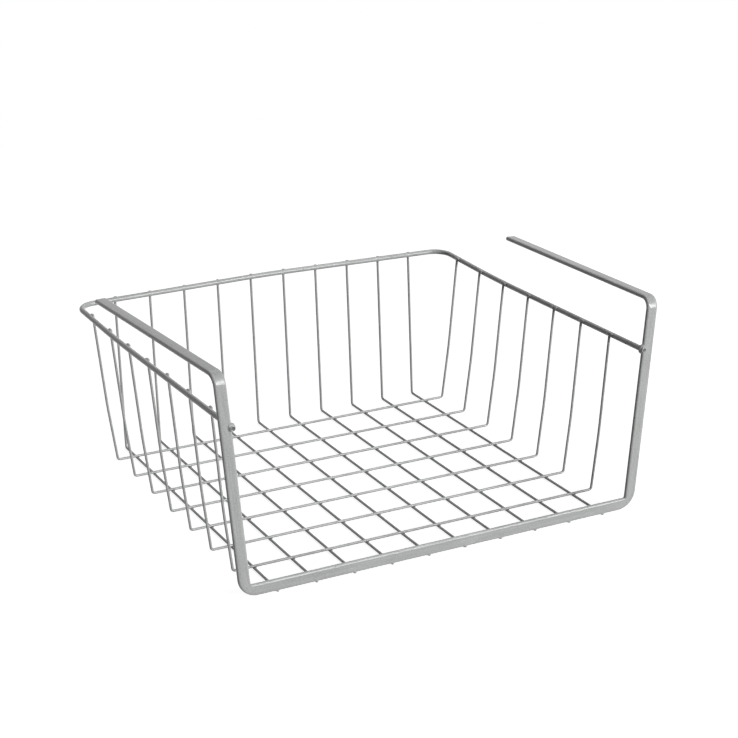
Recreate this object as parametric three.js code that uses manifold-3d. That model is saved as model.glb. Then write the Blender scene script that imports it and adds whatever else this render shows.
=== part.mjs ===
// Under shelf basket, welded from round steel wire and one bent flat bar.
// Lengths are in millimetres. +Z is up, the open front faces -Y, and +X is on the right from there.
// Heights and depths are worked out from the centre of the long floor wires and from the bar's plane,
// and the finished basket is then set down on the ground, centred over the origin.

import * as THREE from 'three';
import { mergeVertices } from 'three/addons/utils/BufferGeometryUtils.js';
import loadManifold from 'manifold-3d';

// Round wire of the grid, which is all one thickness.
const wireRadius = 0.85;
const wireBendRadius = 4;

// Floor and walls, along the wires' centres.
const floorHalfWidth = 127.2;
const floorDepth = 249.6;
const backWallRunOut = 6.4;
const wireTipProud = 0.2;

// Long wires, which run from the front bar to the back and up the back wall. The outer two lie this
// far inside the side walls.
const longWireCount = 10;
const outerLongWireInset = 13.8;
const longTipProud = 0.2;

// Cross wires, which run from side to side over the long wires and up both side walls. The last one
// lies this far in front of the back wall.
const crossWireCount = 7;
const lastCrossWireInset = 21.4;

// The side walls' wires have a slight knee, which bulges outwards.
const kneeHeightShare = 0.38;
const kneeBulge = 0.9;
const kneeRadius = 400;

// Rim, one thicker wire round the left, the back and the right. It isn't quite level: each side
// hangs a little between the upright and the corner, and the back bows up.
const rimRadius = 1.75;
const rimHeight = 106;
const rimSideSag = 1.9;
const rimSagDepthShare = 0.7;
const rimCornerRise = 0.2;
const rimBackBow = 2.1;
const rimBowRadius = 1500;
const rimSideSplay = 2.4;
const rimCornerRadius = 12;
const rimEndProud = 2;

// Flat bar of the front frame and of the arms that hook over the shelf.
const barWidth = 7.5;
const barThickness = 2.8;
const barEdgeRadius = 1.3;
const barFloorOutset = 6.5;
const uprightRunOut = 11.6;
const barRise = 134.3;
const barFloorBendRadius = 9;
const barShoulderBendRadius = 6.4;
const armLength = 175.2;
const armSplay = 5.7;
const armDroop = 4.7;
const armTwist = THREE.MathUtils.degToRad(5);

// How far the welds press one piece into the other, and the gap that is kept in each seat.
const gridSetDown = 0.4;
const rimSetDown = 0.5;
const barSetDown = 1.05;
const rimInBarSetDown = 1.75;
const seatGap = 0.3;

// Facets.
const wireSides = 8;
const rimSides = 12;
const barCornerSteps = 2;
const wireBendSteps = 4;
const kneeSteps = 3;
const rimBowSteps = 4;
const rimCornerSteps = 7;
const barBendSteps = 8;

// Pitches, widths, heights and depths that follow from the sizes above.
const longWirePitch = (2 * (floorHalfWidth - outerLongWireInset)) / (longWireCount - 1);
const crossWirePitch = (floorDepth - lastCrossWireInset) / crossWireCount;
const crossWireZ = 2 * wireRadius - gridSetDown;
const barFloorHalfWidth = floorHalfWidth + barFloorOutset;
const barShoulderHalfWidth = barFloorHalfWidth + uprightRunOut;
const barFloorZ = wireRadius - barSetDown + barWidth / 2;
const barShoulderZ = barFloorZ + barRise;
const uprightLean = Math.atan2(uprightRunOut, barRise);
const backWallLean = Math.atan2(backWallRunOut, rimHeight);
const rimWeldDistance = rimRadius + wireRadius - rimSetDown;
const rimBackY = floorDepth + backWallRunOut - rimWeldDistance / Math.cos(backWallLean);
const rimFrontHalfWidth = uprightInnerX(rimHeight) - rimRadius + rimInBarSetDown;
const rimSagY = rimBackY * rimSagDepthShare;
const rimCornerZ = rimHeight + rimCornerRise;
const tipOverRim = rimRadius + wireTipProud;

// Half the width between the uprights' inner edges at a height.
function uprightInnerX(z) {
  const centreX = barFloorHalfWidth + (z - barFloorZ) * Math.tan(uprightLean);
  return centreX - barWidth / 2 / Math.cos(uprightLean);
}

// Half the rim's width at a depth, because its sides spread a little towards the back.
function rimSideX(y) {
  return rimFrontHalfWidth + rimSideSplay * (y / rimBackY);
}

// Height of the rim's sides at a depth: down to the lowest point, then up to the corner.
function rimSideZ(y) {
  const sagZ = rimHeight - rimSideSag;
  if (y < rimSagY) return rimHeight - rimSideSag * (y / rimSagY);
  return sagZ + (rimCornerZ - sagZ) * ((y - rimSagY) / (rimBackY - rimSagY));
}

// Height of the rim's back, which is highest in the middle.
function rimBackZ(x) {
  return rimCornerZ + rimBackBow * (1 - Math.abs(x) / rimSideX(rimBackY));
}

// A bent length of wire or bar: straight runs joined by arcs, with one cross-section at each station.
class BentPath extends THREE.Curve {
  // corners are { point, radius, steps }. The two ends have no radius, but may have a twist.
  // faceDirection is where the cross-section's own x axis points in the middle of the path.
  constructor(corners, faceDirection) {
    super();
    this.stations = [];
    this.faceDirection = faceDirection;
    corners.forEach((corner, index) => {
      const before = corners[Math.max(index - 1, 0)];
      const after = corners[Math.min(index + 1, corners.length - 1)];
      if (corner.radius) this.addBend(corner, before, after);
      else this.addEnd(corner, before, after);
    });
  }

  addEnd({ point, twist = 0 }, before, after) {
    const tangent = after.point.clone().sub(before.point).normalize();
    this.stations.push({ point, tangent, twist });
  }

  // An arc that touches both straight runs at a corner. A twisted end gets its twist in the bend
  // that is next to it.
  addBend({ point, radius, steps }, before, after) {
    const inward = point.clone().sub(before.point).normalize();
    const outward = after.point.clone().sub(point).normalize();
    const turn = inward.angleTo(outward);
    const turnAxis = inward.clone().cross(outward).normalize();
    const start = point.clone().addScaledVector(inward, -radius * Math.tan(turn / 2));
    const towardsCentre = turnAxis.clone().cross(inward);
    const centre = start.clone().addScaledVector(towardsCentre, radius);
    for (let step = 0; step <= steps; step += 1) {
      const share = step / steps;
      const spoke = towardsCentre.clone().negate().applyAxisAngle(turnAxis, turn * share);
      this.stations.push({
        point: centre.clone().addScaledVector(spoke, radius),
        tangent: inward.clone().applyAxisAngle(turnAxis, turn * share),
        twist: THREE.MathUtils.lerp(before.twist ?? 0, after.twist ?? 0, share),
      });
    }
  }

  get steps() {
    return this.stations.length - 1;
  }

  getPointAt(share, target = new THREE.Vector3()) {
    return target.copy(this.stations[Math.round(share * this.steps)].point);
  }

  getTangentAt(share, target = new THREE.Vector3()) {
    return target.copy(this.stations[Math.round(share * this.steps)].tangent);
  }

  // The cross-section is carried from the middle to both ends, and turned only by the twists.
  computeFrenetFrames() {
    const tangents = this.stations.map((station) => station.tangent);
    const middle = Math.floor(tangents.length / 2);
    const carried = [];
    carried[middle] = this.faceDirection.clone().projectOnPlane(tangents[middle]).normalize();
    const carry = (from, to) => {
      const turn = new THREE.Quaternion().setFromUnitVectors(tangents[from], tangents[to]);
      carried[to] = carried[from].clone().applyQuaternion(turn);
    };
    for (let index = middle; index < this.steps; index += 1) carry(index, index + 1);
    for (let index = middle; index > 0; index -= 1) carry(index, index - 1);
    const normals = this.stations.map(({ tangent, twist }, index) =>
      carried[index].clone().applyAxisAngle(tangent, twist),
    );
    const binormals = tangents.map((tangent, index) => tangent.clone().cross(normals[index]));
    return { tangents, normals, binormals };
  }
}

// Round cross-section.
function roundSection(radius) {
  const section = new THREE.Shape();
  section.absarc(0, 0, radius, 0, 2 * Math.PI);
  return section;
}

// Flat cross-section with rounded edges.
function flatSection(width, thickness, edgeRadius) {
  const flatX = width / 2 - edgeRadius;
  const flatY = thickness / 2 - edgeRadius;
  const quarter = Math.PI / 2;
  const section = new THREE.Shape();
  section.absarc(flatX, flatY, edgeRadius, 0, quarter);
  section.absarc(-flatX, flatY, edgeRadius, quarter, 2 * quarter);
  section.absarc(-flatX, -flatY, edgeRadius, 2 * quarter, 3 * quarter);
  section.absarc(flatX, -flatY, edgeRadius, 3 * quarter, 4 * quarter);
  return section;
}

// A solid swept along a path. Each arc of the section gets twice the curve segments.
function sweep(section, path, arcSteps) {
  return new THREE.ExtrudeGeometry(section, {
    extrudePath: path,
    steps: path.steps,
    curveSegments: arcSteps / 2,
  });
}

// The same corners on the left side.
function mirrored(corners) {
  return corners.map((corner) => ({ ...corner, point: corner.point.clone().setX(-corner.point.x) }));
}

// Cross wire: tip, knee and bend on the left, over the floor, then the same on the right.
function crossWirePath(y) {
  const weldX = rimSideX(y) - rimWeldDistance;
  const weldZ = rimSideZ(y);
  const tipZ = weldZ + tipOverRim;
  const wallHeight = weldZ - crossWireZ;
  const wallRun = weldX - floorHalfWidth;
  const kneeX = floorHalfWidth + wallRun * kneeHeightShare + kneeBulge;
  const kneeZ = crossWireZ + wallHeight * kneeHeightShare;
  const tipX = weldX + ((weldX - kneeX) * (tipZ - weldZ)) / (weldZ - kneeZ);
  const at = (x, z) => new THREE.Vector3(x, y, z);
  const right = [
    { point: at(floorHalfWidth, crossWireZ), radius: wireBendRadius, steps: wireBendSteps },
    { point: at(kneeX, kneeZ), radius: kneeRadius, steps: kneeSteps },
    { point: at(tipX, tipZ) },
  ];
  return new BentPath([...mirrored(right).reverse(), ...right], new THREE.Vector3(0, 1, 0));
}

// Long wire: from under the front bar, over the floor, then up the back wall.
function longWirePath(x) {
  const tipZ = rimBackZ(x) + tipOverRim;
  const tipY = floorDepth + tipZ * Math.tan(backWallLean);
  const corners = [
    { point: new THREE.Vector3(x, -barThickness / 2 - longTipProud, 0) },
    { point: new THREE.Vector3(x, floorDepth, 0), radius: wireBendRadius, steps: wireBendSteps },
    { point: new THREE.Vector3(x, tipY, tipZ) },
  ];
  return new BentPath(corners, new THREE.Vector3(1, 0, 0));
}

// Rim: from the left upright round the back to the right upright.
function rimPath() {
  const onSide = (y) => new THREE.Vector3(rimSideX(y), y, rimSideZ(y));
  const bow = { radius: rimBowRadius, steps: rimBowSteps };
  const right = [
    { point: onSide(rimBackY), radius: rimCornerRadius, steps: rimCornerSteps },
    { point: onSide(rimSagY), ...bow },
    { point: onSide(-barThickness / 2 - rimEndProud) },
  ];
  const left = mirrored(right).reverse();
  const middle = { point: new THREE.Vector3(0, rimBackY, rimBackZ(0)), ...bow };
  return new BentPath([...left, middle, ...right], new THREE.Vector3(0, 0, 1));
}

// Front frame: left arm, left upright, front bar, right upright, right arm, in one bent bar.
function framePath() {
  const armTip = new THREE.Vector3(
    barShoulderHalfWidth + armSplay,
    armLength,
    barShoulderZ - armDroop,
  );
  const shoulder = {
    point: new THREE.Vector3(barShoulderHalfWidth, 0, barShoulderZ),
    radius: barShoulderBendRadius,
    steps: barBendSteps,
  };
  const foot = {
    point: new THREE.Vector3(barFloorHalfWidth, 0, barFloorZ),
    radius: barFloorBendRadius,
    steps: barBendSteps,
  };
  const right = [foot, shoulder, { point: armTip, twist: -armTwist }];
  return new BentPath([...mirrored(right).reverse(), ...right], new THREE.Vector3(0, 0, 1));
}

// Boolean cuts.
const { Manifold, Mesh: SolidMesh } = await loadManifold().then((module) => {
  module.setup();
  return module;
});

function solidFrom(geometry) {
  const bare = geometry.clone();
  bare.deleteAttribute('normal');
  bare.deleteAttribute('uv');
  const welded = mergeVertices(bare);
  return new Manifold(
    new SolidMesh({
      numProp: 3,
      vertProperties: new Float32Array(welded.attributes.position.array),
      triVerts: new Uint32Array(welded.index.array),
    }),
  );
}

function geometryFrom(solid) {
  const mesh = solid.getMesh();
  const geometry = new THREE.BufferGeometry();
  geometry.setAttribute('position', new THREE.BufferAttribute(mesh.vertProperties, 3));
  geometry.setIndex(new THREE.BufferAttribute(mesh.triVerts, 1));
  geometry.computeVertexNormals();
  return geometry;
}

// Cuts the seats in a piece where its neighbours, grown by the gap, lie against it.
function withSeats(geometry, neighbours) {
  const seats = neighbours.map((neighbour) => solidFrom(neighbour));
  return geometryFrom(solidFrom(geometry).subtract(Manifold.union(seats)));
}

// Coated steel, a little lighter on the bar than on the thin wires.
function coatedSteel(shade) {
  return new THREE.MeshStandardMaterial({ color: shade, roughness: 0.42, metalness: 0.65 });
}

const barShade = 0xb4b8b6;
const rimShade = 0xabafad;
const wireShade = 0xa2a6a4;

function pieceOf(name, geometry, shade) {
  const mesh = new THREE.Mesh(geometry, coatedSteel(shade));
  mesh.name = name;
  return mesh;
}

const crossPaths = Array.from({ length: crossWireCount }, (_, index) =>
  crossWirePath((index + 1) * crossWirePitch),
);
const longPaths = Array.from({ length: longWireCount }, (_, index) =>
  longWirePath((index - (longWireCount - 1) / 2) * longWirePitch),
);

function wires(paths, radius) {
  return paths.map((path) => sweep(roundSection(radius), path, wireSides));
}

// What each piece is seated on is cut by the neighbour's own shape, grown by the seat's gap.
const grownCrossWires = wires(crossPaths, wireRadius + seatGap);
const grownLongWires = wires(longPaths, wireRadius + seatGap);
const grownRim = sweep(roundSection(rimRadius + seatGap), rimPath(), rimSides);

const basket = new THREE.Group();
basket.name = 'under_shelf_basket';

const barSection = flatSection(barWidth, barThickness, barEdgeRadius);
const frame = sweep(barSection, framePath(), barCornerSteps);
basket.add(pieceOf('front_frame', withSeats(frame, [...grownLongWires, grownRim]), barShade));

const rim = sweep(roundSection(rimRadius), rimPath(), rimSides);
const rimSeats = [...grownCrossWires, ...grownLongWires];
basket.add(pieceOf('rim_wire', withSeats(rim, rimSeats), rimShade));

wires(crossPaths, wireRadius).forEach((wire, index) => {
  basket.add(pieceOf(`cross_wire_${index + 1}`, wire, wireShade));
});
wires(longPaths, wireRadius).forEach((wire, index) => {
  basket.add(pieceOf(`long_wire_${index + 1}`, withSeats(wire, grownCrossWires), wireShade));
});

// Sets the basket down on the ground, centred over the origin.
const extent = new THREE.Box3().setFromObject(basket, true);
const centre = extent.getCenter(new THREE.Vector3());
basket.position.set(-centre.x, -centre.y, -extent.min.z);

export default basket;
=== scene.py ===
"""Looks of a welded under shelf basket: a flat-bar frame, a rim wire and a grid of thin wires."""

import logging
import math
import random
from dataclasses import dataclass, field, replace
from enum import Enum

import bmesh
import bpy
from mathutils import Euler, Matrix, Vector, noise


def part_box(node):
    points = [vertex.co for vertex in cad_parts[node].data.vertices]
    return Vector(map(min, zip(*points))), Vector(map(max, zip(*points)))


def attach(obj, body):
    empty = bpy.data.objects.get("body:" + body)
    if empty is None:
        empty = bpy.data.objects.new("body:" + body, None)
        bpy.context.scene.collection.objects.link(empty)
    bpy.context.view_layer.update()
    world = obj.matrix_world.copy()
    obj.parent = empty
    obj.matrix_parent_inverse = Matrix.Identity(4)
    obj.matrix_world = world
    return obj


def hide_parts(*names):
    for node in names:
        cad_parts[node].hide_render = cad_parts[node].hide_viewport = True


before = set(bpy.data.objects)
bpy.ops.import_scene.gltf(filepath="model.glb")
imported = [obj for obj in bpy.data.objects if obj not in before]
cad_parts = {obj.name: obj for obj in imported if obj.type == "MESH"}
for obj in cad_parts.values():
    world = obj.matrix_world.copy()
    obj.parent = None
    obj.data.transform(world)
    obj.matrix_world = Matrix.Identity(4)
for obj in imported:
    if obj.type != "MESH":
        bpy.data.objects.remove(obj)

LOG = logging.getLogger("basket")
MM = 0.001
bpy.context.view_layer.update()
BODY = "root"
PLACE_LAYER = "stock_place"
BARE_LAYER = "bare_metal"
ROUND_PROFILE = 0.5
LONGEST_FACET_SHARE = 1 / 3
NOISE_LOW = 0.3
NOISE_HIGH = 0.7
OPAQUE = 1.0
LEVEL_DEGREES = 90.0

NodeTree = bpy.types.NodeTree
Node = bpy.types.Node
Socket = bpy.types.NodeSocket
Material = bpy.types.Material
Mesh = bmesh.types.BMesh
Face = bmesh.types.BMFace
Object = bpy.types.Object
Given = Socket | float | tuple[float, ...]


class Slot(Enum):
    """The record's material slots."""

    BAR = "flat_bar"
    RIM = "rim"
    WIRE = "grid_wire"


class Side(Enum):
    """The left and right of the basket, seen from its open front."""

    LEFT = -1
    RIGHT = 1


def put(tree: NodeTree, socket: Socket, value: Given) -> None:
    """Links a socket to another one, or sets its value.

    Args:
        tree: The node tree.
        socket: The input to fill.
        value: The socket to link, or the value to set.
    """
    if isinstance(value, Socket):
        tree.links.new(value, socket)
    else:
        socket.default_value = value


def linked(tree: NodeTree, kind: str, **inputs: Given) -> Node:
    """Adds a node, and links or sets its inputs by name.

    Args:
        tree: The node tree.
        kind: The node's type, without the leading ShaderNode.
        inputs: Sockets to link or values to set. An underscore in a name stands for a space.

    Returns:
        The new node.
    """
    node = tree.nodes.new(f"ShaderNode{kind}")
    for name, value in inputs.items():
        put(tree, node.inputs[name.replace("_", " ")], value)
    return node


def joined(tree: NodeTree, kind: str, *values: Given, operation: str = "") -> Node:
    """Adds a node, and links or sets its inputs in their order.

    Args:
        tree: The node tree.
        kind: The node's type, without the leading ShaderNode.
        values: Sockets to link or values to set.
        operation: What a Math or Vector Math node works out.

    Returns:
        The new node.
    """
    node = linked(tree, kind)
    if operation:
        node.operation = operation
    for socket, value in zip(node.inputs, values):
        put(tree, socket, value)
    return node


def noise_value(tree: NodeTree, place: Socket, scale: Given, detail: float) -> Socket:
    """Adds a noise texture and gives its value."""
    return linked(tree, "TexNoise", Vector=place, Scale=scale, Detail=detail).outputs["Fac"]


def spread(tree: NodeTree, value: Socket, low: float = 0.0, high: float = 1.0) -> Socket:
    """Stretches the middle of a noise over a whole range.

    Args:
        tree: The node tree.
        value: The noise.
        low: What its dark parts become.
        high: What its light parts become.

    Returns:
        The stretched noise.
    """
    node = linked(
        tree,
        "MapRange",
        Value=value,
        From_Min=NOISE_LOW,
        From_Max=NOISE_HIGH,
        To_Min=low,
        To_Max=high,
    )
    return node.outputs["Result"]


def blended(tree: NodeTree, share: Given, first: Given, second: Given) -> Socket:
    """Mixes two numbers, with a share of the second."""
    return linked(tree, "Mix", Factor=share, A=first, B=second).outputs["Result"]


def tinted(tree: NodeTree, share: Socket, first: Given, second: Given) -> Socket:
    """Mixes two colours.

    Args:
        tree: The node tree.
        share: How much of the second colour there is.
        first: The first colour, or the socket that gives it.
        second: The second colour, or the socket that gives it.

    Returns:
        The mixed colour.
    """
    node = tree.nodes.new("ShaderNodeMix")
    node.data_type = "RGBA"
    tree.links.new(share, node.inputs["Factor"])
    sockets = [socket for socket in node.inputs if socket.type == "RGBA"]
    for socket, value in zip(sockets, (first, second)):
        put(tree, socket, value)
    return next(socket for socket in node.outputs if socket.type == "RGBA")


def new_group(name: str, inputs: dict[str, float], outputs: tuple[str, ...]) -> NodeTree:
    """Makes an empty node group that reads a vector and some numbers.

    Args:
        name: The group's name.
        inputs: Its number inputs with their defaults.
        outputs: Its number outputs.

    Returns:
        The group, with its input and output nodes.
    """
    tree = bpy.data.node_groups.new(name, "ShaderNodeTree")
    tree.interface.new_socket(name="Vector", in_out="INPUT", socket_type="NodeSocketVector")
    for label, value in inputs.items():
        socket = tree.interface.new_socket(
            name=label, in_out="INPUT", socket_type="NodeSocketFloat"
        )
        socket.default_value = value
    for label in outputs:
        tree.interface.new_socket(name=label, in_out="OUTPUT", socket_type="NodeSocketFloat")
    tree.nodes.new("NodeGroupInput")
    tree.nodes.new("NodeGroupOutput")
    return tree


@dataclass(frozen=True)
class SprayPattern:
    """A sprayed coating: fine flake, grain, soft orange peel and slow drifts of shade.

    The scales are in waves to the metre.
    """

    name: str = "sprayed_coat"
    flake_scale: float = 5200.0
    grain_scale: float = 1100.0
    peel_scale: float = 900.0
    drift_scale: float = 60.0
    flake_detail: float = 1.0
    detail: float = 2.0
    grain_share: float = 0.85
    drift_share: float = 0.2
    sheen_grain_share: float = 0.5
    flake_height_share: float = 0.25

    def build(self) -> NodeTree:
        """Makes the node group.

        Returns:
            A group that reads a place and puts out Shade, Sheen and Height.
        """
        scales = {
            "Flake Scale": self.flake_scale,
            "Grain Scale": self.grain_scale,
            "Peel Scale": self.peel_scale,
            "Drift Scale": self.drift_scale,
        }
        tree = new_group(self.name, scales, ("Shade", "Sheen", "Height"))
        given = tree.nodes["Group Input"].outputs
        result = tree.nodes["Group Output"].inputs
        place = given["Vector"]
        flake = noise_value(tree, place, given["Flake Scale"], self.flake_detail)
        grain, peel, drift = (
            noise_value(tree, place, given[scale], self.detail)
            for scale in ("Grain Scale", "Peel Scale", "Drift Scale")
        )
        fine = blended(tree, self.grain_share, flake, grain)
        shade = blended(tree, self.drift_share, fine, drift)
        sheen = blended(tree, self.sheen_grain_share, drift, grain)
        height = blended(tree, self.flake_height_share, peel, flake)
        tree.links.new(spread(tree, shade), result["Shade"])
        tree.links.new(spread(tree, sheen), result["Sheen"])
        tree.links.new(height, result["Height"])
        return tree


@dataclass(frozen=True)
class DrawnPattern:
    """Drawn or rolled stock under the coating: fine and broad streaks along its length.

    It reads the stock's own places, so that its pitches and its length are in millimetres.
    """

    name: str = "drawn_stock"
    fine_pitch: float = 0.4
    broad_pitch: float = 1.4
    streak_length: float = 30.0
    detail: float = 2.0
    broad_share: float = 0.4

    def layer(self, tree: NodeTree, pitch: str) -> Socket:
        """One layer of streaks.

        Args:
            tree: The group.
            pitch: The name of the input that gives the streaks' pitch.

        Returns:
            The streaks as a number.
        """
        given = tree.nodes["Group Input"].outputs
        size = linked(
            tree, "CombineXYZ", X=given[pitch], Y=given[pitch], Z=given["Streak Length"]
        )
        terms = given["Vector"], size.outputs["Vector"]
        place = joined(tree, "VectorMath", *terms, operation="DIVIDE")
        return noise_value(tree, place.outputs["Vector"], 1.0, self.detail)

    def build(self) -> NodeTree:
        """Makes the node group.

        Returns:
            A group that reads a place in the stock and puts out Streaks.
        """
        sizes = {
            "Fine Pitch": self.fine_pitch,
            "Broad Pitch": self.broad_pitch,
            "Streak Length": self.streak_length,
        }
        tree = new_group(self.name, sizes, ("Streaks",))
        fine = self.layer(tree, "Fine Pitch")
        broad = self.layer(tree, "Broad Pitch")
        streaks = spread(tree, blended(tree, self.broad_share, fine, broad))
        tree.links.new(streaks, tree.nodes["Group Output"].inputs["Streaks"])
        return tree


@dataclass(frozen=True)
class ThinPattern:
    """Where the coating is thin: on sheared ends, with a broken border."""

    name: str = "thin_coat"
    patch_scale: float = 1300.0
    detail: float = 3.0
    border_low: float = 0.6
    border_high: float = 1.4

    def build(self) -> NodeTree:
        """Makes the node group.

        Returns:
            A group that reads a place and how bare the metal is, and puts out Mask.
        """
        tree = new_group(self.name, {"Bare": 0.0, "Patch Scale": self.patch_scale}, ("Mask",))
        given = tree.nodes["Group Input"].outputs
        patch = noise_value(tree, given["Vector"], given["Patch Scale"], self.detail)
        border = spread(tree, patch, self.border_low, self.border_high)
        mask = joined(tree, "Math", given["Bare"], border, operation="MULTIPLY")
        mask.use_clamp = True
        tree.links.new(mask.outputs["Value"], tree.nodes["Group Output"].inputs["Mask"])
        return tree


class Pattern(Enum):
    """Surface patterns that several coatings share, each a node group."""

    SPRAY = SprayPattern()
    DRAWN = DrawnPattern()
    THIN = ThinPattern()

    def placed(self, tree: NodeTree, vector: Socket) -> Node:
        """Puts the pattern's group, which is made once, in a material.

        Args:
            tree: The material's node tree.
            vector: The places that it reads.

        Returns:
            The group's node.
        """
        node = linked(tree, "Group")
        node.node_tree = bpy.data.node_groups.get(self.value.name) or self.value.build()
        tree.links.new(vector, node.inputs["Vector"])
        return node


@dataclass(frozen=True)
class SatinCoat:
    """Satin silver-grey coating over drawn or rolled steel. Its depths are in metres."""

    name: str
    colour: tuple[float, float, float] = (0.465, 0.478, 0.470)
    bare_colour: tuple[float, float, float] = (0.10, 0.10, 0.098)
    roughness: float = 0.15
    bare_roughness: float = 0.55
    specular: float = 0.5
    shade_spread: float = 0.3
    streak_share: float = 0.4
    sheen_spread: float = 0.05
    peel_depth: float = 0.000012
    streak_depth: float = 0.000006

    def shaded(self, change: float) -> tuple[float, ...]:
        """The colour, lighter or darker by a share of itself."""
        return (*(part * (1 + change) for part in self.colour), OPAQUE)

    def material(self) -> Material:
        """The coating as a material.

        Returns:
            A new material that reads object coordinates and the stock's own attributes.
        """
        material = bpy.data.materials.new(self.name)
        material.use_nodes = True
        tree = material.node_tree
        shader = tree.nodes["Principled BSDF"]
        shader.inputs["Specular IOR Level"].default_value = self.specular
        place = linked(tree, "TexCoord").outputs["Object"]
        stock = linked(tree, "Attribute")
        stock.attribute_name = PLACE_LAYER
        bare = linked(tree, "Attribute")
        bare.attribute_name = BARE_LAYER
        spray = Pattern.SPRAY.placed(tree, place).outputs
        streaks = Pattern.DRAWN.placed(tree, stock.outputs["Vector"]).outputs["Streaks"]
        thin = Pattern.THIN.placed(tree, place)
        tree.links.new(bare.outputs["Fac"], thin.inputs["Bare"])
        mask = thin.outputs["Mask"]
        shade = blended(tree, self.streak_share, spray["Shade"], streaks)
        dark, light = self.shaded(-self.shade_spread), self.shaded(self.shade_spread)
        coat = tinted(tree, shade, dark, light)
        colour = tinted(tree, mask, coat, (*self.bare_colour, OPAQUE))
        tree.links.new(colour, shader.inputs["Base Color"])
        sheen = linked(
            tree,
            "MapRange",
            Value=spray["Sheen"],
            To_Min=self.roughness - self.sheen_spread,
            To_Max=self.roughness + self.sheen_spread,
        )
        rough = blended(tree, mask, sheen.outputs["Result"], self.bare_roughness)
        tree.links.new(rough, shader.inputs["Roughness"])
        peel = linked(tree, "MapRange", Value=spray["Height"], To_Max=self.peel_depth)
        terms = streaks, self.streak_depth, peel.outputs["Result"]
        height = joined(tree, "Math", *terms, operation="MULTIPLY_ADD")
        bump = linked(tree, "Bump", Strength=1.0, Distance=1.0, Height=height.outputs["Value"])
        tree.links.new(bump.outputs["Normal"], shader.inputs["Normal"])
        return material


class Finish(Enum):
    """The coatings of the wires, of the bar and the rim, and of the welds: a plain weld coat, and a
    dark one whose colour is painted shade at the floor crossings.
    """

    WIRE = SatinCoat("wire_coat")
    BAR = SatinCoat("bar_coat")
    WELD = SatinCoat(
        "weld_coat",
        colour=(0.42, 0.43, 0.425),
        roughness=0.24,
        shade_spread=0.2,
        streak_share=0.0,
        peel_depth=0.00003,
    )
    # Painted shade: this dark colour stands in for the shade under the cross wires where they lie
    # on the long wires.
    SHADE_PAINTED_WELD = SatinCoat(
        "shade_painted_weld_coat",
        colour=(0.18, 0.18, 0.176),
        roughness=0.4,
        shade_spread=0.35,
        streak_share=0.0,
        peel_depth=0.00004,
    )


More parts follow.
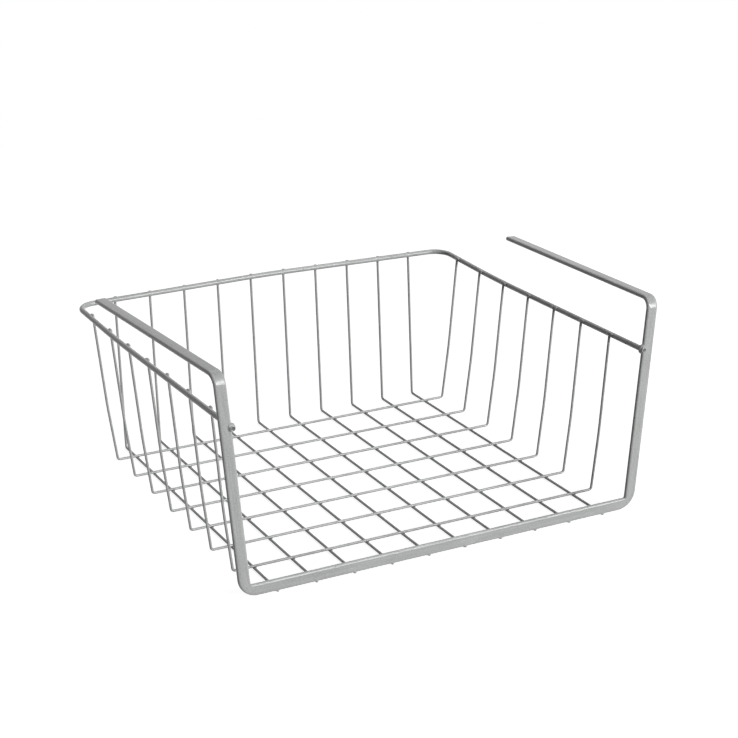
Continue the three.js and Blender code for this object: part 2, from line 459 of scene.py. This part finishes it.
@dataclass(frozen=True)
class Grid:
    """Sizes of the thin wires and of the rim and bar that they are welded to, in millimetres.

    Heights count from the centre of the long floor wires, depths from the bar's middle plane.
    """

    wire_radius: float = 0.85
    floor_half_width: float = 127.2
    floor_depth: float = 249.6
    back_run_out: float = 6.4
    tip_proud: float = 0.2
    long_count: int = 10
    outer_long_inset: float = 13.8
    long_tip_proud: float = 0.2
    cross_count: int = 7
    last_cross_inset: float = 21.4
    grid_set_down: float = 0.4
    knee_height_share: float = 0.38
    knee_bulge: float = 0.9
    knee_radius: float = 400.0
    rim_radius: float = 1.75
    rim_height: float = 106.0
    rim_side_sag: float = 1.9
    rim_sag_depth_share: float = 0.7
    rim_corner_rise: float = 0.2
    rim_back_bow: float = 2.1
    rim_bow_radius: float = 1500.0
    rim_side_splay: float = 2.4
    rim_corner_radius: float = 12.0
    rim_end_proud: float = 2.0
    rim_set_down: float = 0.5
    rim_in_bar_set_down: float = 1.75
    bar_width: float = 7.5
    bar_thickness: float = 2.8
    bar_edge_radius: float = 1.3
    bar_floor_outset: float = 6.5
    upright_run_out: float = 11.6
    bar_rise: float = 134.3
    bar_set_down: float = 1.05
    bar_floor_bend_radius: float = 9.0
    bar_shoulder_bend_radius: float = 6.4
    arm_length: float = 175.2
    arm_splay: float = 5.7
    arm_droop: float = 4.7
    arm_twist_degrees: float = 5.0

    @property
    def cross_z(self) -> float:
        """Height of the cross wires' centres."""
        return 2 * self.wire_radius - self.grid_set_down

    @property
    def bar_floor_z(self) -> float:
        """Height of the front bar's centre."""
        return self.wire_radius - self.bar_set_down + self.bar_width / 2

    @property
    def bar_floor_x(self) -> float:
        """Half the width between the frame's lower corners."""
        return self.floor_half_width + self.bar_floor_outset

    @property
    def bar_shoulder_x(self) -> float:
        """Half the width between the shoulders."""
        return self.bar_floor_x + self.upright_run_out

    @property
    def bar_shoulder_z(self) -> float:
        """Height of the shoulders' corner points."""
        return self.bar_floor_z + self.bar_rise

    @property
    def back_lean(self) -> float:
        """Lean of the back wall, in radians."""
        return math.atan2(self.back_run_out, self.rim_height)

    @property
    def rim_weld_distance(self) -> float:
        """Distance between the rim's centre and a wire that is welded to it."""
        return self.rim_radius + self.wire_radius - self.rim_set_down

    @property
    def rim_back_y(self) -> float:
        """Depth of the rim's back run."""
        wall = self.floor_depth + self.back_run_out
        return wall - self.rim_weld_distance / math.cos(self.back_lean)

    @property
    def rim_front_x(self) -> float:
        """Half the rim's width at the uprights.

        Returns:
            The place at which the rim lies pressed into the upright's inner edge.
        """
        lean = math.atan2(self.upright_run_out, self.bar_rise)
        centre = self.bar_floor_x + (self.rim_height - self.bar_floor_z) * math.tan(lean)
        inner = centre - self.bar_width / 2 / math.cos(lean)
        return inner - self.rim_radius + self.rim_in_bar_set_down

    @property
    def rim_sag_y(self) -> float:
        """Depth at which the rim's sides hang lowest."""
        return self.rim_back_y * self.rim_sag_depth_share

    @property
    def rim_corner_z(self) -> float:
        """Height of the rim's back corners."""
        return self.rim_height + self.rim_corner_rise

    @property
    def long_pitch(self) -> float:
        """Distance between neighbouring long wires."""
        return 2 * (self.floor_half_width - self.outer_long_inset) / (self.long_count - 1)

    @property
    def cross_pitch(self) -> float:
        """Distance between neighbouring cross wires."""
        return (self.floor_depth - self.last_cross_inset) / self.cross_count

    def rim_side_x(self, y: float) -> float:
        """Half the rim's width at a depth."""
        return self.rim_front_x + self.rim_side_splay * (y / self.rim_back_y)

    def rim_side_z(self, y: float) -> float:
        """Height of the rim's sides at a depth.

        Args:
            y: The depth.

        Returns:
            The height of the rim's centre, which sags and rises again towards the back corner.
        """
        low = self.rim_height - self.rim_side_sag
        if y < self.rim_sag_y:
            return self.rim_height - self.rim_side_sag * (y / self.rim_sag_y)
        share = (y - self.rim_sag_y) / (self.rim_back_y - self.rim_sag_y)
        return low + (self.rim_corner_z - low) * share

    def rim_back_z(self, x: float) -> float:
        """Height of the rim's back run at a place across it."""
        share = 1 - abs(x) / self.rim_side_x(self.rim_back_y)
        return self.rim_corner_z + self.rim_back_bow * share

    def cross_ys(self) -> list[float]:
        """Depths of the cross wires, front to back."""
        return [(index + 1) * self.cross_pitch for index in range(self.cross_count)]

    def long_xs(self) -> list[float]:
        """Places of the long wires, left to right."""
        middle = (self.long_count - 1) / 2
        return [(index - middle) * self.long_pitch for index in range(self.long_count)]


@dataclass(frozen=True)
class Corner:
    """One corner of a bent path, in millimetres. The first and last have no radius.

    Where the inside of a bend is pressed sharp, pressed is half the width of the stock there.
    """

    point: Vector
    radius: float = 0.0
    steps: int = 1
    twist: float = 0.0
    pressed: float = 0.0


def add_object(name: str, data: bpy.types.ID) -> Object:
    """Adds an object to the scene.

    Args:
        name: The object's name.
        data: Its mesh, camera or lamp.

    Returns:
        The object.
    """
    made = bpy.data.objects.new(name, data)
    bpy.context.scene.collection.objects.link(made)
    return made


def about(point: Vector, move: Matrix) -> Matrix:
    """A turn or a stretch about a point instead of the origin."""
    return Matrix.Translation(point) @ move @ Matrix.Translation(-point)


def mirrored(corners: list[Corner]) -> list[Corner]:
    """The same corners on the left side instead of the right, in the opposite order."""
    flip = Vector((-1, 1, 1))
    return [replace(corner, point=corner.point * flip) for corner in reversed(corners)]


class Stock:
    """A length of wire or bar that is fed and bent, one straight run after the other.

    Each run starts and ends with a short facet, which keeps its shading plain.
    """

    facet_length: float = 0.9

    def __init__(self, section: Mesh, corners: list[Corner], across: Vector) -> None:
        """Bends the whole length.

        Args:
            section: A mesh that holds one flat face, the cross-section, in the XY plane.
            corners: The path's corners, in millimetres.
            across: Where the cross-section's own x axis points at the start.
        """
        self.mesh = section
        self.length = 0.0
        self.place = section.verts.layers.float_vector.new(PLACE_LAYER)
        for vert in section.verts:
            vert[self.place] = vert.co
        self.end = section.faces[:][0]
        self.point = corners[0].point.copy()
        self.tangent = (corners[1].point - corners[0].point).normalized()
        side = (across - self.tangent * across.dot(self.tangent)).normalized()
        up = self.tangent.cross(side)
        turn = Matrix((side, up, self.tangent)).transposed().to_4x4()
        place = Matrix.Translation(self.point) @ turn
        bmesh.ops.transform(section, matrix=place, verts=section.verts[:])
        for before, corner, after in zip(corners, corners[1:], corners[2:]):
            self._corner(before, corner, after)
        self._feed(corners[-1].point)
        bmesh.ops.recalc_face_normals(section, faces=section.faces[:])

    def _feed(self, target: Vector) -> None:
        """Feeds straight on, with a short facet at each end of the run.

        Args:
            target: The place to reach.
        """
        run = target - self.point
        facet = min(self.facet_length / run.length, LONGEST_FACET_SHARE)
        for share in (facet, 1 - 2 * facet, facet):
            self._pull(Matrix.Translation(run * share), 0.0)

    def _corner(self, before: Corner, corner: Corner, after: Corner) -> None:
        """Feeds up to a corner and bends round it, and twists on the way to a twisted end.

        Args:
            before: The corner before it.
            corner: The corner to bend round.
            after: The corner after it.
        """
        outward = (after.point - corner.point).normalized()
        angle = self.tangent.angle(outward)
        axis = self.tangent.cross(outward).normalized()
        start = corner.point - self.tangent * corner.radius * math.tan(angle / 2)
        self._feed(start)
        centre = start + axis.cross(self.tangent) * corner.radius
        step = Matrix.Rotation(angle / corner.steps, 4, axis)
        bend = about(centre, step)
        twist = (after.twist - before.twist) / corner.steps
        width_share = 1.0
        for index in range(1, corner.steps + 1):
            self._pull(bend, corner.radius * angle / corner.steps)
            self.tangent = (step.to_3x3() @ self.tangent).normalized()
            self._twist(twist)
            if corner.pressed:
                turned = angle * min(index, corner.steps - index) / corner.steps
                width_share = self._press(corner, centre, turned, width_share)

    def _press(self, corner: Corner, centre: Vector, turned: float, share: float) -> float:
        """Narrows the end face so that the inside of a bend keeps straight on to a sharp corner.

        Args:
            corner: The bend.
            centre: Its centre.
            turned: The angle from here to the nearer end of the bend.
            share: How much of its width the end face has now.

        Returns:
            How much of its width the end face keeps.
        """
        outside = corner.radius + corner.pressed
        inside = (corner.radius - corner.pressed) / math.cos(turned)
        kept = (outside - inside) / (2 * corner.pressed)
        radial = (self.point - centre).normalized()
        edge = centre + radial * outside
        squeeze = about(edge, Matrix.Scale(kept / share, 4, radial))
        bmesh.ops.transform(self.mesh, matrix=squeeze, verts=self.end.verts[:])
        return kept

    def _pull(self, matrix: Matrix, length: float) -> None:
        """Draws the end face on and notes how far along the stock it now lies.

        Args:
            matrix: The move.
            length: The length that it adds round a bend, or zero on a straight run.
        """
        whole = [self.end, *self.end.edges, *self.end.verts]
        made = bmesh.ops.extrude_face_region(self.mesh, geom=whole)["geom"]
        ring = [part for part in made if isinstance(part, bmesh.types.BMVert)]
        self.end = next(part for part in made if isinstance(part, Face))
        bmesh.ops.transform(self.mesh, matrix=matrix, verts=ring)
        moved = matrix @ self.point
        self.length += length or (moved - self.point).length
        self.point = moved
        for vert in ring:
            vert[self.place].z = self.length

    def _twist(self, angle: float) -> None:
        """Turns the end face about the stock's own direction, by an angle in radians."""
        turn = about(self.point, Matrix.Rotation(angle, 4, self.tangent))
        bmesh.ops.transform(self.mesh, matrix=turn, verts=self.end.verts[:])


def round_section(radius: float, sides: int) -> Mesh:
    """A wire's round cross-section.

    Args:
        radius: The wire's radius, in millimetres.
        sides: How many sides stand for the round.

    Returns:
        A mesh with one face.
    """
    mesh = bmesh.new()
    bmesh.ops.create_circle(mesh, cap_ends=True, segments=sides, radius=radius)
    return mesh


def end_faces(mesh: Mesh, sides: int) -> list[Face]:
    """The faces that close a swept length: those with as many corners as its cross-section."""
    return [face for face in mesh.faces if len(face.verts) == sides]


def round_off(mesh: Mesh, faces: list[Face], radius: float, steps: int) -> None:
    """Rounds the edges round end faces.

    Args:
        mesh: The mesh to change.
        faces: The end faces.
        radius: How much is rounded off, in millimetres.
        steps: Facets of the rounding.
    """
    edges = list(dict.fromkeys(edge for face in faces for edge in face.edges))
    bmesh.ops.bevel(
        mesh,
        geom=edges,
        offset=radius,
        offset_type="OFFSET",
        segments=steps,
        profile=ROUND_PROFILE,
        affect="EDGES",
        material=-1,
        clamp_overlap=True,
    )


def cut_end(mesh: Mesh, faces: list[Face], ring: float, depth: float) -> None:
    """Sinks the middle of sheared end faces and marks it as barely coated.

    Args:
        mesh: The mesh to change.
        faces: The end faces.
        ring: Width of the rounded ring that stays, in millimetres.
        depth: How deep the middle lies, in millimetres.
    """
    bare = mesh.verts.layers.float.new(BARE_LAYER)
    bmesh.ops.inset_individual(mesh, faces=faces, thickness=ring, depth=-depth)
    inner = [vert for face in faces for vert in face.verts]
    for vert in inner:
        vert[bare] = 1.0
    bmesh.ops.inset_individual(mesh, faces=faces, thickness=ring, depth=-depth / 2)


@dataclass
class Workshop:
    """Turns finished meshes into pieces of the scene and dresses them."""

    origin: Vector

    def finish(self, mesh: Mesh, name: str, slot: Slot, material: Material) -> Object:
        """Sets a mesh in its place as a piece that rides on the basket.

        Args:
            mesh: The mesh in millimetres, in the basket's own heights and depths. It is used up.
            name: The piece's name.
            slot: The record's slot for the piece. It is not used.
            material: Its material.

        Returns:
            The piece.
        """
        place = Matrix.Translation(self.origin) @ Matrix.Scale(MM, 4)
        bmesh.ops.transform(mesh, matrix=place, verts=mesh.verts[:])
        data = bpy.data.meshes.new(name)
        mesh.to_mesh(data)
        mesh.free()
        data.materials.append(material)
        data.shade_smooth()
        piece = add_object(name, data)
        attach(piece, BODY)
        LOG.info("%s: %d faces", name, len(data.polygons))
        return piece


@dataclass
class WireGrid:
    """The thin wires, which are welded to each other, to the rim and under the bar."""

    grid: Grid
    sides: int = 16
    bend_steps: int = 8
    knee_steps: int = 6
    tip_round: float = 0.5
    tip_steps: int = 3
    bend_radius: float = 2.0
    back_tip_drop: float = 0.4

    def cross_corners(self, y: float) -> list[Corner]:
        """Corners of a cross wire.

        Args:
            y: The wire's depth.

        Returns:
            The corners from its left tip to its right tip.
        """
        grid = self.grid
        weld_x = grid.rim_side_x(y) - grid.rim_weld_distance
        weld_z = grid.rim_side_z(y)
        tip_z = weld_z + grid.rim_radius + grid.tip_proud
        wall_run = weld_x - grid.floor_half_width
        knee_x = grid.floor_half_width + wall_run * grid.knee_height_share + grid.knee_bulge
        knee_z = grid.cross_z + (weld_z - grid.cross_z) * grid.knee_height_share
        tip_x = weld_x + (weld_x - knee_x) * (tip_z - weld_z) / (weld_z - knee_z)
        foot = Vector((grid.floor_half_width, y, grid.cross_z))
        right = [
            Corner(foot, self.bend_radius, self.bend_steps),
            Corner(Vector((knee_x, y, knee_z)), grid.knee_radius, self.knee_steps),
            Corner(Vector((tip_x, y, tip_z))),
        ]
        return [*mirrored(right), *right]

    def long_corners(self, x: float) -> list[Corner]:
        """Corners of a long wire.

        Args:
            x: The wire's place across the basket.

        Returns:
            The corners from its end under the bar to its tip behind the rim.
        """
        grid = self.grid
        tip_z = grid.rim_back_z(x) + grid.rim_radius + grid.tip_proud - self.back_tip_drop
        tip_y = grid.floor_depth + tip_z * math.tan(grid.back_lean)
        return [
            Corner(Vector((x, -grid.bar_thickness / 2 - grid.long_tip_proud, 0))),
            Corner(Vector((x, grid.floor_depth, 0)), self.bend_radius, self.bend_steps),
            Corner(Vector((x, tip_y, tip_z))),
        ]

    def wire(self, corners: list[Corner], across: Vector) -> Mesh:
        """Bends one wire and rounds its tips.

        Args:
            corners: Its corners.
            across: A direction square to the plane that it is bent in.

        Returns:
            Its mesh.
        """
        section = round_section(self.grid.wire_radius, self.sides)
        mesh = Stock(section, corners, across).mesh
        round_off(mesh, end_faces(mesh, self.sides), self.tip_round, self.tip_steps)
        return mesh

    def build(self, shop: Workshop, material: Material) -> None:
        """Makes every cross wire and every long wire.

        Args:
            shop: Where the pieces are finished.
            material: The wires' coating.
        """
        for index, y in enumerate(self.grid.cross_ys(), start=1):
            mesh = self.wire(self.cross_corners(y), Vector((0, 1, 0)))
            piece = shop.finish(mesh, f"cross_wire_round_{index}", Slot.WIRE, material)
            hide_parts(f"cross_wire_{index}")
        for index, x in enumerate(self.grid.long_xs(), start=1):
            mesh = self.wire(self.long_corners(x), Vector((1, 0, 0)))
            piece = shop.finish(mesh, f"long_wire_round_{index}", Slot.WIRE, material)
            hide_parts(f"long_wire_{index}")


@dataclass
class Rim:
    """The thicker wire round the left side, the back and the right side."""

    grid: Grid
    sides: int = 24
    corner_steps: int = 14
    bow_steps: int = 8
    end_round: float = 0.35
    end_steps: int = 3
    end_ring: float = 0.35
    end_depth: float = 0.22
    end_melt: float = 0.8

    def corners(self) -> list[Corner]:
        """Corners of the rim.

        Returns:
            The corners from the left upright round the back to the right one.
        """
        grid = self.grid

        def on_side(y: float) -> Vector:
            """The rim's centre on the right side at a depth."""
            return Vector((grid.rim_side_x(y), y, grid.rim_side_z(y)))

        end_y = -grid.bar_thickness / 2 - grid.rim_end_proud + self.end_melt
        right = [
            Corner(on_side(grid.rim_back_y), grid.rim_corner_radius, self.corner_steps),
            Corner(on_side(grid.rim_sag_y), grid.rim_bow_radius, self.bow_steps),
            Corner(on_side(end_y)),
        ]
        middle_point = Vector((0, grid.rim_back_y, grid.rim_back_z(0)))
        middle = Corner(middle_point, grid.rim_bow_radius, self.bow_steps)
        return [*mirrored(right), middle, *right]

    def build(self, shop: Workshop, material: Material) -> None:
        """Makes the rim.

        Args:
            shop: Where the piece is finished.
            material: The rim's coating.
        """
        section = round_section(self.grid.rim_radius, self.sides)
        mesh = Stock(section, self.corners(), Vector((0, 0, 1))).mesh
        round_off(mesh, end_faces(mesh, self.sides), self.end_round, self.end_steps)
        cut_end(mesh, end_faces(mesh, self.sides), self.end_ring, self.end_depth)
        piece = shop.finish(mesh, "rim_round", Slot.RIM, material)
        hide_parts("rim_wire")


@dataclass
class FrontFrame:
    """The bent flat bar: two arms, two uprights and the front bar."""

    grid: Grid
    edge_steps: int = 6
    bend_steps: int = 18
    facet_length: float = 0.25
    end_round: float = 0.35
    end_steps: int = 3
    seam_merge: float = 0.001

    def section(self) -> Mesh:
        """The bar's flat cross-section with rounded edges.

        Each of its flat sides has a short facet at either end, which keeps the shading plain.

        Returns:
            A mesh with one face.
        """
        grid = self.grid
        mesh = bmesh.new()
        bmesh.ops.create_grid(mesh, x_segments=1, y_segments=1, size=1)
        half_sizes = Vector((grid.bar_width / 2, grid.bar_thickness / 2, 1))
        bmesh.ops.scale(mesh, vec=half_sizes, verts=mesh.verts[:])
        bmesh.ops.bevel(
            mesh,
            geom=mesh.verts[:],
            offset=grid.bar_edge_radius,
            offset_type="OFFSET",
            segments=self.edge_steps,
            profile=ROUND_PROFILE,
            affect="VERTICES",
            material=-1,
        )
        for edge in [edge for edge in mesh.edges if edge.calc_length() > grid.bar_edge_radius]:
            length = edge.calc_length()
            first, last = edge.verts
            bmesh.utils.edge_split(edge, first, self.facet_length / length)
            rest = length - self.facet_length
            bmesh.utils.edge_split(edge, last, self.facet_length / rest)
        return mesh

    def half_corners(self) -> list[Corner]:
        """Corners of the frame's right half.

        Returns:
            The corners from the middle of the front bar to the arm's tip.
        """
        grid = self.grid
        foot = Vector((grid.bar_floor_x, 0, grid.bar_floor_z))
        shoulder = Vector((grid.bar_shoulder_x, 0, grid.bar_shoulder_z))
        tip = shoulder + Vector((grid.arm_splay, grid.arm_length, -grid.arm_droop))
        pressed = grid.bar_width / 2
        return [
            Corner(Vector((0, 0, grid.bar_floor_z))),
            Corner(foot, grid.bar_floor_bend_radius, self.bend_steps, pressed=pressed),
            Corner(shoulder, grid.bar_shoulder_bend_radius, self.bend_steps),
            Corner(tip, twist=-math.radians(grid.arm_twist_degrees)),
        ]

    def middle_face(self, mesh: Mesh, sides: int) -> Face:
        """The end face at the middle of the front bar, where the two halves meet."""
        ends = end_faces(mesh, sides)
        return min(ends, key=lambda face: abs(face.calc_center_median().x))

    def build(self, shop: Workshop, material: Material) -> None:
        """Makes the right half and mirrors it.

        Args:
            shop: Where the piece is finished.
            material: The bar's coating.
        """
        section = self.section()
        sides = len(section.verts)
        mesh = Stock(section, self.half_corners(), Vector((0, 0, 1))).mesh
        middle = self.middle_face(mesh, sides)
        tips = [face for face in end_faces(mesh, sides) if face is not middle]
        round_off(mesh, tips, self.end_round, self.end_steps)
        middle = self.middle_face(mesh, sides)
        bmesh.ops.delete(mesh, geom=[middle], context="FACES_ONLY")
        bmesh.ops.mirror(
            mesh,
            geom=[*mesh.verts, *mesh.edges, *mesh.faces],
            matrix=Matrix.Identity(4),
            merge_dist=self.seam_merge,
            axis="X",
        )
        bmesh.ops.recalc_face_normals(mesh, faces=mesh.faces[:])
        piece = shop.finish(mesh, "front_frame_bar", Slot.BAR, material)
        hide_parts("front_frame")


@dataclass(frozen=True)
class Nugget:
    """One kind of weld nugget, a lumpy flattened ball, in millimetres.

    The half sizes are across, along the depth and high, and the seat is counted from the joint.
    """

    name: str
    half_sizes: Vector
    seat: Vector
    finish: Finish = Finish.WELD
    around: int = 16
    rings: int = 10
    wander: float = 0.1
    turn: float = 0.15
    spread_share: float = 0.12
    lump: float = 0.15
    lump_pitch: float = 1.4


@dataclass
class Welds:
    """The nuggets of melted metal at the crossings, the rim, the bar and the uprights."""

    grid: Grid
    seed: int = 11
    side_lap_share: float = 1 / 3
    end_lap_share: float = 1 / 4
    # Painted shade: the floor nuggets take the dark weld coat, which paints the shade under the
    # cross wires at each crossing.
    floor: Nugget = Nugget(
        "floor_welds",
        Vector((1.4, 1.5, 0.6)),
        Vector((0.1, -0.15, -0.1)),
        finish=Finish.SHADE_PAINTED_WELD,
        around=12,
        rings=7,
    )
    side_rim: Nugget = Nugget("side_rim_welds", Vector((1.3, 2.8, 1.35)), Vector((0, 0, 0.8)))
    back_rim: Nugget = Nugget("back_rim_welds", Vector((2.0, 0.95, 1.8)), Vector((0, 0, -0.1)))
    under_bar: Nugget = Nugget("under_bar_welds", Vector((1.6, 1.35, 0.75)), Vector((0, -0.1, 0.4)))
    rim_end: Nugget = Nugget(
        "rim_end_welds",
        Vector((2.9, 2.15, 2.75)),
        Vector((0, 0, 0)),
        around=32,
        rings=20,
        spread_share=0.04,
        lump=0.65,
        lump_pitch=1.9,
    )

    def fill(self, kind: Nugget, joints: list[Vector], seed: int) -> Mesh:
        """Sets one nugget on each joint.

        Args:
            kind: The kind of nugget.
            joints: The joints' places, in millimetres.
            seed: Where the random draws start.

        Returns:
            A mesh that holds all of them.
        """
        dice = random.Random(seed)
        mesh = bmesh.new()
        for joint in joints:
            shift = Vector([dice.uniform(-kind.wander, kind.wander) for _ in range(3)])
            share = dice.uniform(1 - kind.spread_share, 1 + kind.spread_share)
            turn = Euler((0, 0, dice.uniform(-kind.turn, kind.turn)))
            matrix = Matrix.LocRotScale(joint + kind.seat + shift, turn, kind.half_sizes * share)
            made = bmesh.ops.create_uvsphere(
                mesh, u_segments=kind.around, v_segments=kind.rings, radius=1, matrix=matrix
            )
            middle = joint + kind.seat
            for vert in made["verts"]:
                out = (vert.co - middle).normalized()
                vert.co += out * kind.lump * noise.noise(vert.co / kind.lump_pitch)
        return mesh

    def floor_joints(self) -> list[Vector]:
        """Where the cross wires lie on the long wires, row by row."""
        z = self.grid.cross_z / 2
        return [Vector((x, y, z)) for y in self.grid.cross_ys() for x in self.grid.long_xs()]

    def side_joints(self) -> list[Vector]:
        """Where the cross wires' tips are welded to the rim's sides.

        Returns:
            The joints, front to back. The metal lies mostly over the tips.
        """
        grid = self.grid
        contact = grid.rim_weld_distance - grid.wire_radius * self.side_lap_share
        return [
            Vector((side.value * (grid.rim_side_x(y) - contact), y, grid.rim_side_z(y)))
            for y in grid.cross_ys()
            for side in Side
        ]

    def back_joints(self) -> list[Vector]:
        """Where the long wires' tips touch the rim's back, left to right."""
        y = self.grid.rim_back_y + self.grid.rim_weld_distance - self.grid.wire_radius
        return [Vector((x, y, self.grid.rim_back_z(x))) for x in self.grid.long_xs()]

    def under_joints(self) -> list[Vector]:
        """Where the long wires' front ends touch the bar's lower edge, left to right."""
        z = self.grid.bar_floor_z - self.grid.bar_width / 2
        return [Vector((x, 0, z)) for x in self.grid.long_xs()]

    def end_joints(self) -> list[Vector]:
        """Where the rim's ends are welded to the uprights' inner edges, left and right."""
        x = self.grid.rim_front_x + self.grid.rim_in_bar_set_down * self.end_lap_share
        return [Vector((side.value * x, 0, self.grid.rim_height)) for side in Side]

    def build(self, shop: Workshop, coats: dict[Finish, Material]) -> None:
        """Makes the nuggets, one piece for each kind.

        Args:
            shop: Where the pieces are finished.
            coats: The coatings, from which each kind takes its own.
        """
        kinds = (
            (self.floor, self.floor_joints()),
            (self.side_rim, self.side_joints()),
            (self.back_rim, self.back_joints()),
            (self.under_bar, self.under_joints()),
            (self.rim_end, self.end_joints()),
        )
        for index, (kind, joints) in enumerate(kinds):
            mesh = self.fill(kind, joints, self.seed + index)
            shop.finish(mesh, kind.name, Slot.WIRE, coats[kind.finish])


@dataclass(frozen=True)
class Lamp:
    """A soft lamp that faces the basket, with its distance, width and length in metres.

    Its level is how bright it makes a white card that faces it. Its length lies along the way
    that its axis points, as far as that is square to its direction.
    """

    name: str
    direction: Vector
    axis: Vector
    distance: float
    size: tuple[float, float]
    level: float

    def build(self, aim: Vector) -> None:
        """Sets up the lamp.

        A lamp of some power lights a card by that power over pi and the squared distance, and a
        white card shows one pi-th of what falls on it.

        Args:
            aim: The place that it faces.
        """
        data = bpy.data.lights.new(self.name, "AREA")
        data.shape = "RECTANGLE"
        data.size, data.size_y = self.size
        data.energy = self.level * (math.pi * self.distance) ** 2
        back = self.direction.normalized()
        along = (self.axis - back * self.axis.dot(back)).normalized()
        turn = Matrix((along.cross(back), along, back)).transposed().to_4x4()
        lamp = add_object(self.name, data)
        lamp.matrix_world = Matrix.Translation(aim + back * self.distance) @ turn


@dataclass
class Studio:
    """Floor, backdrop light and camera, with the camera's place in millimetres."""

    camera_place: Vector = field(default_factory=lambda: Vector((-501.46, -991.27, 474.39)))
    azimuth_degrees: float = 27.452
    elevation_degrees: float = 19.655
    roll_degrees: float = -0.404
    focal_pixels: float = 1808.84
    photo_pixels: int = 738
    sensor_width: float = 36.0
    floor_half_size: float = 6.0
    floor_tone: float = 0.5
    floor_lift: float = 0.86
    floor_white_from: float = 0.45
    floor_white_to: float = 1.1
    dim_floor: float = 0.1
    dim_world: float = 0.03
    aim: Vector = field(default_factory=lambda: Vector((0, 0, 0.06)))
    lamps: tuple[Lamp, ...] = (
        Lamp(
            "front_lamp",
            direction=Vector((0.43, -0.88, 0.21)),
            axis=Vector((0, 0, 1)),
            distance=4.0,
            size=(2.1, 2.5),
            level=1.06,
        ),
        Lamp(
            "upper_lamp",
            direction=Vector((0.43, -0.30, 0.85)),
            axis=Vector((0, 1, 0)),
            distance=3.0,
            size=(0.4, 4.0),
            level=0.17,
        ),
        Lamp(
            "back_lamp",
            direction=Vector((0.25, 0.65, 0.72)),
            axis=Vector((0, 0, 1)),
            distance=3.0,
            size=(2.4, 1.2),
            level=0.14,
        ),
    )

    def camera(self) -> None:
        """Makes the camera at the photograph's viewing angle."""
        data = bpy.data.cameras.new("camera")
        data.sensor_width = self.sensor_width
        data.lens = self.focal_pixels * self.sensor_width / self.photo_pixels
        camera = add_object("camera", data)
        tilt = Matrix.Rotation(math.radians(LEVEL_DEGREES - self.elevation_degrees), 4, "X")
        pan = Matrix.Rotation(-math.radians(self.azimuth_degrees), 4, "Z")
        roll = Matrix.Rotation(math.radians(self.roll_degrees), 4, "Z")
        camera.matrix_world = Matrix.Translation(self.camera_place * MM) @ pan @ tilt @ roll
        bpy.context.scene.camera = camera

    def seen(self, tree: NodeTree) -> Socket:
        """One where the surroundings are seen, straight or in a gloss, and nothing elsewhere.

        Args:
            tree: The node tree.

        Returns:
            The socket with that number.
        """
        path = linked(tree, "LightPath").outputs
        rays = path["Is Camera Ray"], path["Is Glossy Ray"]
        plain = joined(tree, "Math", *rays, operation="MAXIMUM").outputs["Value"]
        clear = joined(tree, "Math", plain, path["Is Transmission Ray"], operation="MAXIMUM")
        return clear.outputs["Value"]

    def floor_material(self) -> Material:
        """The floor's material, which is white where it is seen and keeps the basket's shadow.

        Returns:
            A new material, plain white away from the basket.
        """
        material = bpy.data.materials.new("pale_floor")
        material.use_nodes = True
        tree = material.node_tree
        tree.nodes.remove(tree.nodes["Principled BSDF"])
        lit = linked(tree, "BsdfDiffuse", Color=(self.floor_tone,) * 3 + (OPAQUE,))
        lift = linked(tree, "Emission", Strength=self.floor_lift)
        near = joined(tree, "AddShader", lit.outputs[0], lift.outputs[0])
        white = linked(tree, "Emission", Strength=1.0)
        place = linked(tree, "TexCoord").outputs["Object"]
        distance = joined(tree, "VectorMath", place, operation="LENGTH").outputs["Value"]
        far = linked(
            tree,
            "MapRange",
            Value=distance,
            From_Min=self.floor_white_from,
            From_Max=self.floor_white_to,
        )
        away = far.outputs["Result"]
        shown = joined(tree, "MixShader", away, near.outputs[0], white.outputs[0])
        dim = linked(tree, "BsdfDiffuse", Color=(self.dim_floor,) * 3 + (OPAQUE,))
        either = joined(tree, "MixShader", self.seen(tree), dim.outputs[0], shown.outputs[0])
        tree.links.new(either.outputs[0], tree.nodes["Material Output"].inputs["Surface"])
        return material

    def floor(self) -> None:
        """Makes the plain pale floor."""
        mesh = bmesh.new()
        bmesh.ops.create_grid(mesh, x_segments=1, y_segments=1, size=self.floor_half_size)
        data = bpy.data.meshes.new("floor")
        mesh.to_mesh(data)
        mesh.free()
        data.materials.append(self.floor_material())
        floor = add_object("floor", data)

    def world(self) -> None:
        """Makes the white surroundings, which light the basket only dimly."""
        world = bpy.data.worlds.new("surroundings")
        bpy.context.scene.world = world
        world.use_nodes = True
        tree = world.node_tree
        strength = linked(
            tree, "MapRange", Value=self.seen(tree), To_Min=self.dim_world, To_Max=1.0
        )
        background = tree.nodes["Background"]
        background.inputs["Color"].default_value = (1, 1, 1, OPAQUE)
        tree.links.new(strength.outputs["Result"], background.inputs["Strength"])

    def build(self) -> None:
        """Makes the camera, the floor and the light."""
        self.camera()
        self.floor()
        self.world()
        for lamp in self.lamps:
            lamp.build(self.aim)


def main() -> None:
    """Builds the studio and the basket."""
    logging.basicConfig(level=logging.INFO, format="%(name)s: %(message)s")
    bpy.context.scene.view_settings.view_transform = "Standard"
    Studio().build()
    grid = Grid()
    bar_low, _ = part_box("front_frame")
    wire_low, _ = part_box("long_wire_1")
    origin = Vector(
        (0, bar_low.y + grid.bar_thickness / 2 * MM, wire_low.z + grid.wire_radius * MM)
    )
    shop = Workshop(origin)
    coats = {finish: finish.value.material() for finish in Finish}
    FrontFrame(grid).build(shop, coats[Finish.BAR])
    Rim(grid).build(shop, coats[Finish.BAR])
    WireGrid(grid).build(shop, coats[Finish.WIRE])
    Welds(grid).build(shop, coats)


if __name__ == "__main__":
    main()
